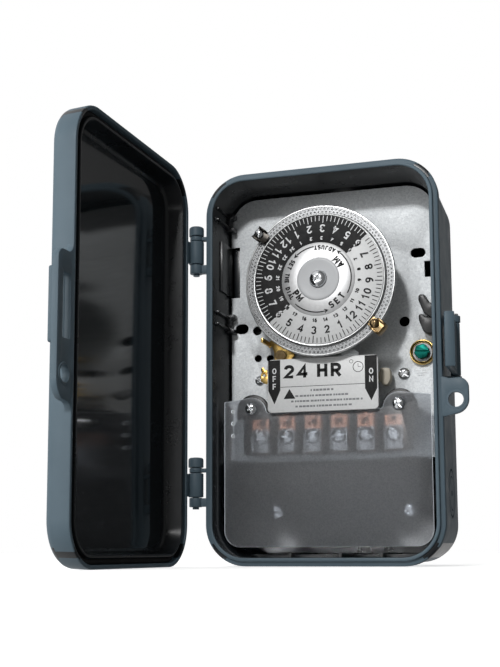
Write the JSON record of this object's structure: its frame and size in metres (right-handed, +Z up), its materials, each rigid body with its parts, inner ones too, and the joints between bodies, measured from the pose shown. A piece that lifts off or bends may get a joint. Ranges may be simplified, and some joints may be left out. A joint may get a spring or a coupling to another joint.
{
  "type": "mechanical dial time switch",
  "caption": "Twenty-four hour mechanical dial time switch on a steel plate in a wall-mounted plastic enclosure, with a hinged door, side latch, terminals and a wiring shield.",
  "frame": {"origin": "centre of the enclosure's back face, where it meets the wall", "axes": "+Z up, +X to the right seen from the front, front faces -Y, +Y into the wall"},
  "size_m": [0.1565, 0.196, 0.198],
  "materials": {
    "shell_grey": "moulded thermoplastic, light stipple",
    "gasket_black": "matt foam rubber",
    "galvanised": "zinc-coated sheet, spangled",
    "dial_silver": "satin",
    "dial_print": "printed film",
    "nickel": "bright plated steel",
    "brass": "satin",
    "yellow_zinc": "yellow zinc plate",
    "copper": "copper alloy",
    "black_moulding": "phenolic moulding",
    "label_white": "printed plate",
    "ivory": "nylon",
    "ground_green": "green dyed zinc plate",
    "smoke_shield": "smoked translucent sheet",
    "motor_case": "plated steel can",
    "lead_white": "insulated wire"
  },
  "bodies": {
    "enclosure": {"enclosure_base": "shell_grey", "hinge_pin_upper": "shell_grey", "hinge_pin_lower": "shell_grey", "latch_pin": "nickel", "mechanism_plate": "galvanised", "release_clip": "black_moulding", "ground_cup_washer": "brass", "ground_screw": "ground_green", "plate_screw_left": "nickel", "plate_screw_right": "nickel", "dial_bearing": "brass", "idler_post": "nickel", "clock_motor": "motor_case", "motor_screw_left": "nickel", "motor_screw_right": "nickel", "motor_lead_left": "lead_white", "motor_lead_right": "lead_white", "switch_base": "black_moulding", "terminal_plate_1": "copper", "terminal_plate_2": "copper", "terminal_plate_3": "copper", "terminal_plate_4": "copper", "terminal_plate_5": "copper", "terminal_plate_6": "copper", "terminal_screw_1": "nickel", "terminal_screw_2": "nickel", "terminal_screw_3": "nickel", "terminal_screw_4": "nickel", "terminal_screw_5": "nickel", "terminal_screw_6": "nickel", "label_plate": "label_white", "lever_pivot": "nickel", "fixed_contact_left": "copper", "fixed_contact_right": "copper", "wiring_shield": "smoke_shield", "shield_screw_left": "nickel", "shield_screw_right": "nickel"},
    "door": {"door": "shell_grey", "door_gasket": "gasket_black"},
    "latch": {"side_latch": "shell_grey"},
    "dial": {"dial_disc": "dial_silver", "dial_face": "dial_print", "dial_bush": "brass", "dial_arbor": "nickel", "dial_screw": "nickel", "clutch_washer": "nickel", "arbor_clip": "nickel", "dial_gear": "brass"},
    "tripper_on": {"tripper_on": "black_moulding", "tripper_on_screw": "nickel"},
    "tripper_off": {"tripper_off": "yellow_zinc", "tripper_off_screw": "nickel"},
    "idler": {"idler_gear": "brass"},
    "pinion": {"motor_pinion": "nickel"},
    "slider": {"switch_slider": "ivory", "slider_link": "yellow_zinc", "contact_blade_left": "copper", "contact_blade_right": "copper"},
    "lever": {"trip_lever": "yellow_zinc"}
  },
  "joints": [
    {"name": "door_hinge", "type": "hinge", "parent": "enclosure", "child": "door", "pos_m": [-0.0648, -0.0603, 0], "axis": [0, 0, -1], "range_deg": [-93, 77]},
    {"name": "latch_pivot", "type": "hinge", "parent": "enclosure", "child": "latch", "pos_m": [0.0626, -0.037, 0.0067], "axis": [0, 0, 1], "range_deg": [-1, 4.5]},
    {"name": "dial_turn", "type": "hinge", "parent": "enclosure", "child": "dial", "pos_m": [0, -0.0595, 0.0409], "axis": [0, 1, 0], "continuous": true},
    {"name": "idler_turn", "type": "hinge", "parent": "enclosure", "child": "idler", "pos_m": [-0.00443, -0.051, 0.06601], "axis": [0, 1, 0], "continuous": true},
    {"name": "pinion_turn", "type": "hinge", "parent": "enclosure", "child": "pinion", "pos_m": [0.00754, -0.051, 0.06682], "axis": [0, 1, 0], "continuous": true},
    {"name": "tripper_on_shift", "type": "hinge", "parent": "dial", "child": "tripper_on", "pos_m": [0, -0.0595, 0.0409], "axis": [0, 1, 0], "range_deg": [-80, 80]},
    {"name": "tripper_off_shift", "type": "hinge", "parent": "dial", "child": "tripper_off", "pos_m": [0, -0.0595, 0.0409], "axis": [0, 1, 0], "range_deg": [-80, 80]},
    {"name": "switch_slide", "type": "slide", "parent": "enclosure", "child": "slider", "axis": [1, 0, 0], "range_m": [-0.0024, 0]},
    {"name": "lever_turn", "type": "hinge", "parent": "enclosure", "child": "lever", "pos_m": [-0.026, -0.0392, 0.008], "axis": [0, 1, 0], "range_deg": [0, 10.2]}
  ],
  "couplings": [
    {"joint": "idler_turn", "follows": "dial_turn", "ratio": -2.4},
    {"joint": "pinion_turn", "follows": "dial_turn", "ratio": 4},
    {"joint": "lever_turn", "follows": "switch_slide", "rad_per_m": -72.993}
  ]
}
